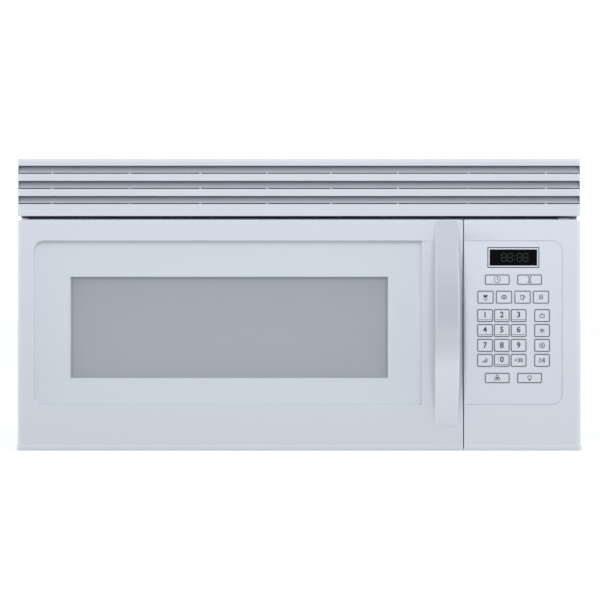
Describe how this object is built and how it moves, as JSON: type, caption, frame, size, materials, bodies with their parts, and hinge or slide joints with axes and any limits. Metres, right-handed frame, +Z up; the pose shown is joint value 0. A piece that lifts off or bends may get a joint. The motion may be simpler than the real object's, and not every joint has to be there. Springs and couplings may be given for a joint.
{
  "type": "over the range microwave",
  "caption": "White over-the-range microwave oven with a louvred vent grille, a wide windowed door with a bowed bar handle, and a keypad panel with a display.",
  "frame": {"origin": "centre of the underside of the whole object, on the plane the base rests on", "axes": "+X to the user's right along the width, -Y towards the user, +Z up"},
  "size_m": [0.759, 0.415, 0.392],
  "materials": {
    "case_paint": "white baked enamel",
    "galvanised_sheet": "plain zinc-coated sheet",
    "front_plate_paint": "white enamel on sheet steel",
    "cavity_enamel": "light epoxy enamel",
    "mica": "pressed mica sheet",
    "magnetron_metal": "steel yoke and aluminium fins",
    "transformer_steel": "varnished laminations",
    "motor_can": "plated steel can",
    "lamp_lens": "frosted clear lens",
    "filter_mesh": "expanded aluminium mesh in a folded frame",
    "charcoal": "charcoal pad in a black frame",
    "fascia_plastic": "gloss white moulding",
    "keypad_film": "printed membrane film",
    "key_film": "white printed membrane key",
    "display_lens": "black tinted window",
    "circuit_board": "green laminate with black relays",
    "switch_plastic": "natural nylon",
    "hinge_steel": "zinc-plated steel",
    "gland_plastic": "black nylon",
    "blower_casing": "zinc-coated sheet scrolls and motor can",
    "door_glass_pane": "glass with a white printed margin",
    "screen_steel": "perforated enamelled steel",
    "choke_plastic": "white choke cover",
    "handle_plastic": "gloss white moulding",
    "latch_plastic": "natural acetal",
    "tray_glass": "clear pressed glass",
    "coupler_plastic": "white heat-proof plastic",
    "ring_plastic": "white heat-proof plastic",
    "wheel_plastic": "black moulded blower wheel",
    "fan_plastic": "white moulded fan"
  },
  "bodies": {
    "cabinet": {"outer_case": "case_paint", "back_plate": "galvanised_sheet", "base_plate": "case_paint", "front_plate": "front_plate_paint", "oven_cavity": "cavity_enamel", "waveguide_cover": "mica", "magnetron": "magnetron_metal", "high_voltage_supply": "transformer_steel", "turntable_motor": "motor_can", "lamp_lenses": "lamp_lens", "grease_filters": "filter_mesh", "charcoal_filter": "charcoal", "vent_grille": "fascia_plastic", "control_panel": "fascia_plastic", "keypad_overlay": "keypad_film", "display_window": "display_lens", "control_board": "circuit_board", "latch_bracket": "switch_plastic", "door_hinges": "hinge_steel", "cord_gland": "gland_plastic", "vent_blower": "blower_casing", "fan_bracket": "galvanised_sheet"},
    "door": {"door_frame": "fascia_plastic", "door_glass": "door_glass_pane", "screen_pan": "screen_steel", "choke_cover": "choke_plastic", "door_handle": "handle_plastic"},
    "latch": {"latch_lever": "latch_plastic"},
    "turntable": {"turntable_tray": "tray_glass", "drive_coupler": "coupler_plastic"},
    "roller_ring": {"roller_ring": "ring_plastic"},
    "roller_1": {"roller_1": "ring_plastic"},
    "roller_2": {"roller_2": "ring_plastic"},
    "roller_3": {"roller_3": "ring_plastic"},
    "blower_rotor": {"blower_wheels": "wheel_plastic"},
    "fan_rotor": {"cooling_fan": "fan_plastic"},
    "key_clock": {"key_clock": "key_film"},
    "key_timer": {"key_timer": "key_film"},
    "key_fan": {"key_fan": "key_film"},
    "key_light": {"key_light": "key_film"},
    "key_popcorn": {"key_popcorn": "key_film"},
    "key_potato": {"key_potato": "key_film"},
    "key_beverage": {"key_beverage": "key_film"},
    "key_reheat": {"key_reheat": "key_film"},
    "key_1": {"key_1": "key_film"},
    "key_2": {"key_2": "key_film"},
    "key_3": {"key_3": "key_film"},
    "key_cook": {"key_cook": "key_film"},
    "key_4": {"key_4": "key_film"},
    "key_5": {"key_5": "key_film"},
    "key_6": {"key_6": "key_film"},
    "key_defrost": {"key_defrost": "key_film"},
    "key_7": {"key_7": "key_film"},
    "key_8": {"key_8": "key_film"},
    "key_9": {"key_9": "key_film"},
    "key_clear": {"key_clear": "key_film"},
    "key_power": {"key_power": "key_film"},
    "key_0": {"key_0": "key_film"},
    "key_add": {"key_add": "key_film"},
    "key_start": {"key_start": "key_film"}
  },
  "joints": [
    {"name": "door_swing", "type": "hinge", "parent": "cabinet", "child": "door", "pos_m": [-0.3703, -0.145, 0.155], "axis": [0, 0, -1], "range_deg": [0, 105]},
    {"name": "latch_lift", "type": "slide", "parent": "door", "child": "latch", "axis": [0, 0, 1], "range_m": [0, 0.003], "stiffness_N_per_m": 500, "springref_m": -0.003},
    {"name": "turntable_spin", "type": "hinge", "parent": "cabinet", "child": "turntable", "pos_m": [-0.09, 0.0303, 0.06], "axis": [0, 0, 1], "continuous": true},
    {"name": "ring_spin", "type": "hinge", "parent": "cabinet", "child": "roller_ring", "pos_m": [-0.09, 0.0303, 0.0583], "axis": [0, 0, 1], "continuous": true},
    {"name": "roller_1_spin", "type": "hinge", "parent": "roller_ring", "child": "roller_1", "pos_m": [-0.09, 0.1343, 0.0583], "axis": [0, 1, 0], "continuous": true},
    {"name": "roller_2_spin", "type": "hinge", "parent": "roller_ring", "child": "roller_2", "pos_m": [-0.18007, -0.0217, 0.0583], "axis": [-0.866, -0.5, 0], "continuous": true},
    {"name": "roller_3_spin", "type": "hinge", "parent": "roller_ring", "child": "roller_3", "pos_m": [0.00007, -0.0217, 0.0583], "axis": [0.866, -0.5, 0], "continuous": true},
    {"name": "blower_spin", "type": "hinge", "parent": "cabinet", "child": "blower_rotor", "pos_m": [0, 0.15, 0.33], "axis": [1, 0, 0], "continuous": true},
    {"name": "fan_spin", "type": "hinge", "parent": "cabinet", "child": "fan_rotor", "pos_m": [0.306, 0.166, 0.19], "axis": [0, 1, 0], "continuous": true},
    {"name": "key_clock_press", "type": "slide", "parent": "cabinet", "child": "key_clock", "axis": [0, 1, 0], "range_m": [0, 0.0005], "stiffness_N_per_m": 500, "springref_m": -0.001},
    {"name": "key_timer_press", "type": "slide", "parent": "cabinet", "child": "key_timer", "axis": [0, 1, 0], "range_m": [0, 0.0005], "stiffness_N_per_m": 500, "springref_m": -0.001},
    {"name": "key_fan_press", "type": "slide", "parent": "cabinet", "child": "key_fan", "axis": [0, 1, 0], "range_m": [0, 0.0005], "stiffness_N_per_m": 500, "springref_m": -0.001},
    {"name": "key_light_press", "type": "slide", "parent": "cabinet", "child": "key_light", "axis": [0, 1, 0], "range_m": [0, 0.0005], "stiffness_N_per_m": 500, "springref_m": -0.001},
    {"name": "key_popcorn_press", "type": "slide", "parent": "cabinet", "child": "key_popcorn", "axis": [0, 1, 0], "range_m": [0, 0.0005], "stiffness_N_per_m": 500, "springref_m": -0.001},
    {"name": "key_potato_press", "type": "slide", "parent": "cabinet", "child": "key_potato", "axis": [0, 1, 0], "range_m": [0, 0.0005], "stiffness_N_per_m": 500, "springref_m": -0.001},
    {"name": "key_beverage_press", "type": "slide", "parent": "cabinet", "child": "key_beverage", "axis": [0, 1, 0], "range_m": [0, 0.0005], "stiffness_N_per_m": 500, "springref_m": -0.001},
    {"name": "key_reheat_press", "type": "slide", "parent": "cabinet", "child": "key_reheat", "axis": [0, 1, 0], "range_m": [0, 0.0005], "stiffness_N_per_m": 500, "springref_m": -0.001},
    {"name": "key_1_press", "type": "slide", "parent": "cabinet", "child": "key_1", "axis": [0, 1, 0], "range_m": [0, 0.0005], "stiffness_N_per_m": 500, "springref_m": -0.001},
    {"name": "key_2_press", "type": "slide", "parent": "cabinet", "child": "key_2", "axis": [0, 1, 0], "range_m": [0, 0.0005], "stiffness_N_per_m": 500, "springref_m": -0.001},
    {"name": "key_3_press", "type": "slide", "parent": "cabinet", "child": "key_3", "axis": [0, 1, 0], "range_m": [0, 0.0005], "stiffness_N_per_m": 500, "springref_m": -0.001},
    {"name": "key_cook_press", "type": "slide", "parent": "cabinet", "child": "key_cook", "axis": [0, 1, 0], "range_m": [0, 0.0005], "stiffness_N_per_m": 500, "springref_m": -0.001},
    {"name": "key_4_press", "type": "slide", "parent": "cabinet", "child": "key_4", "axis": [0, 1, 0], "range_m": [0, 0.0005], "stiffness_N_per_m": 500, "springref_m": -0.001},
    {"name": "key_5_press", "type": "slide", "parent": "cabinet", "child": "key_5", "axis": [0, 1, 0], "range_m": [0, 0.0005], "stiffness_N_per_m": 500, "springref_m": -0.001},
    {"name": "key_6_press", "type": "slide", "parent": "cabinet", "child": "key_6", "axis": [0, 1, 0], "range_m": [0, 0.0005], "stiffness_N_per_m": 500, "springref_m": -0.001},
    {"name": "key_defrost_press", "type": "slide", "parent": "cabinet", "child": "key_defrost", "axis": [0, 1, 0], "range_m": [0, 0.0005], "stiffness_N_per_m": 500, "springref_m": -0.001},
    {"name": "key_7_press", "type": "slide", "parent": "cabinet", "child": "key_7", "axis": [0, 1, 0], "range_m": [0, 0.0005], "stiffness_N_per_m": 500, "springref_m": -0.001},
    {"name": "key_8_press", "type": "slide", "parent": "cabinet", "child": "key_8", "axis": [0, 1, 0], "range_m": [0, 0.0005], "stiffness_N_per_m": 500, "springref_m": -0.001},
    {"name": "key_9_press", "type": "slide", "parent": "cabinet", "child": "key_9", "axis": [0, 1, 0], "range_m": [0, 0.0005], "stiffness_N_per_m": 500, "springref_m": -0.001},
    {"name": "key_clear_press", "type": "slide", "parent": "cabinet", "child": "key_clear", "axis": [0, 1, 0], "range_m": [0, 0.0005], "stiffness_N_per_m": 500, "springref_m": -0.001},
    {"name": "key_power_press", "type": "slide", "parent": "cabinet", "child": "key_power", "axis": [0, 1, 0], "range_m": [0, 0.0005], "stiffness_N_per_m": 500, "springref_m": -0.001},
    {"name": "key_0_press", "type": "slide", "parent": "cabinet", "child": "key_0", "axis": [0, 1, 0], "range_m": [0, 0.0005], "stiffness_N_per_m": 500, "springref_m": -0.001},
    {"name": "key_add_press", "type": "slide", "parent": "cabinet", "child": "key_add", "axis": [0, 1, 0], "range_m": [0, 0.0005], "stiffness_N_per_m": 500, "springref_m": -0.001},
    {"name": "key_start_press", "type": "slide", "parent": "cabinet", "child": "key_start", "axis": [0, 1, 0], "range_m": [0, 0.0005], "stiffness_N_per_m": 500, "springref_m": -0.001}
  ],
  "couplings": [
    {"joint": "ring_spin", "follows": "turntable_spin", "ratio": 0.5},
    {"joint": "roller_1_spin", "follows": "turntable_spin", "ratio": -6.5},
    {"joint": "roller_2_spin", "follows": "turntable_spin", "ratio": -6.5},
    {"joint": "roller_3_spin", "follows": "turntable_spin", "ratio": -6.5}
  ]
}
